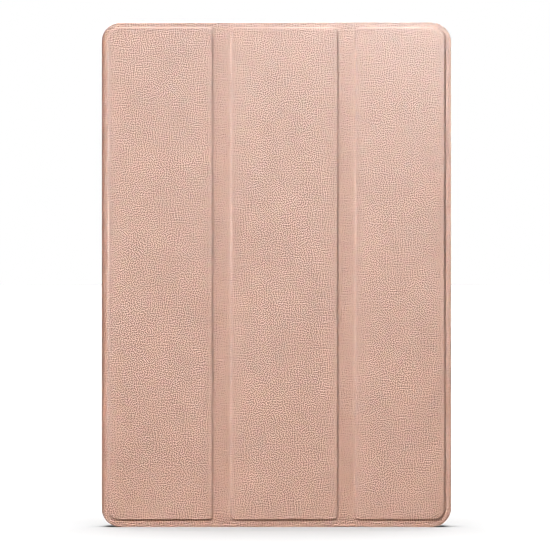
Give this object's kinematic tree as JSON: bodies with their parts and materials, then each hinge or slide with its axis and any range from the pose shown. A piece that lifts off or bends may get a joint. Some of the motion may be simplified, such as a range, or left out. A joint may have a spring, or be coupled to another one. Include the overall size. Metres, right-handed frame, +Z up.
{
  "type": "tablet computer in folio case",
  "caption": "Ten-inch-class tablet computer in a rose-gold synthetic-leather folio case whose front cover folds along two lines into three raised panels.",
  "frame": {"origin": "under the middle of the closed folio, on the level of the short edge it stands on", "axes": "+Z up the long side, +X to the right when facing the cover, cover faces -Y, spine on the -X side"},
  "size_m": [0.1774, 0.0126, 0.256],
  "materials": {
    "leather": "rose-gold pearl synthetic leather, fine pebble grain, satin",
    "lining": "short-pile microfibre, matt",
    "greyboard": "pressed greyboard, matt",
    "shell_plastic": "moulded rose-gold hard plastic, satin",
    "anodised_aluminium": "fine bead-blasted and anodised",
    "sheet_aluminium": "rolled sheet, satin",
    "cover_glass": "polished",
    "display_module": "dark, smooth",
    "black_foam": "matt",
    "battery_pouch": "black laminated foil pouch, satin",
    "flat_cable": "polyimide film, satin",
    "circuit_board": "solder mask, satin",
    "black_plastic": "moulded, matt",
    "plated_steel": "nickel plated, satin",
    "brass_plated": "plated, satin",
    "led_lens": "clear yellowish lens",
    "pale_plastic": "moulded, matt",
    "magnet": "nickel plated, satin"
  },
  "bodies": {
    "root": {"back_leather": "leather", "rear_shell": "shell_plastic", "rear_housing": "anodised_aluminium", "front_glass": "cover_glass", "display_panel": "display_module", "display_adhesive": "black_foam", "mid_plate": "sheet_aluminium", "battery_left": "battery_pouch", "battery_right": "battery_pouch", "battery_flex": "flat_cable", "main_board": "circuit_board", "processor": "black_plastic", "memory_chips": "black_plastic", "processor_shield": "plated_steel", "radio_shield": "plated_steel", "hall_sensor": "black_plastic", "display_flex": "flat_cable", "port_board": "circuit_board", "port_flex": "flat_cable", "usb_socket": "plated_steel", "usb_tongue": "black_plastic", "audio_jack": "black_plastic", "speaker_top_left": "black_plastic", "speaker_top_right": "black_plastic", "speaker_bottom_left": "black_plastic", "speaker_bottom_right": "black_plastic", "microphones": "brass_plated", "front_camera": "black_plastic", "rear_camera": "black_plastic", "camera_ring": "anodised_aluminium", "camera_lens": "cover_glass", "flash_led": "led_lens", "antenna_left": "pale_plastic", "antenna_right": "pale_plastic", "tablet_magnets": "magnet", "key_switches": "brass_plated", "card_slot": "plated_steel", "plate_screws": "plated_steel", "board_screws": "plated_steel"},
    "spine": {"spine_leather": "leather", "spine_board": "greyboard", "spine_lining": "lining"},
    "panel_1": {"cover_leather_1": "leather", "cover_board_1": "greyboard", "cover_lining_1": "lining", "stand_magnets": "magnet"},
    "panel_2": {"cover_leather_2": "leather", "cover_board_2": "greyboard", "cover_lining_2": "lining"},
    "panel_3": {"cover_leather_3": "leather", "cover_board_3": "greyboard", "cover_lining_3": "lining", "closing_magnets": "magnet", "wake_magnet": "magnet"},
    "power_button": {"power_button": "anodised_aluminium"},
    "volume_rocker": {"volume_rocker": "anodised_aluminium"},
    "card_tray": {"card_tray": "anodised_aluminium", "memory_card": "black_plastic"}
  },
  "joints": [
    {"name": "spine_hinge", "type": "hinge", "parent": "root", "child": "spine", "pos_m": [-0.08794, 0.00549, 0.128], "axis": [0, 0, -1], "range_deg": [0, 178]},
    {"name": "panel_1_hinge", "type": "hinge", "parent": "spine", "child": "panel_1", "pos_m": [-0.08794, -0.00459, 0.128], "axis": [0, 0, 1], "range_deg": [-178, 0]},
    {"name": "fold_2", "type": "hinge", "parent": "panel_1", "child": "panel_2", "pos_m": [-0.02765, -0.00635, 0.128], "axis": [0, 0, -1], "range_deg": [0, 178]},
    {"name": "fold_3", "type": "hinge", "parent": "panel_2", "child": "panel_3", "pos_m": [0.03565, -0.00635, 0.128], "axis": [0, 0, 1], "range_deg": [-178, 0]},
    {"name": "power_key", "type": "slide", "parent": "root", "child": "power_button", "axis": [0, 0, -1], "range_m": [0, 0.0003], "stiffness_N_per_m": 3000},
    {"name": "volume_rock", "type": "hinge", "parent": "root", "child": "volume_rocker", "pos_m": [0.0853, 0.00115, 0.211], "axis": [0, 1, 0], "range_deg": [-1.5, 1.5], "stiffness_Nm_per_rad": 0.6},
    {"name": "card_tray_slide", "type": "slide", "parent": "root", "child": "card_tray", "axis": [1, 0, 0], "range_m": [0, 0.02]}
  ]
}
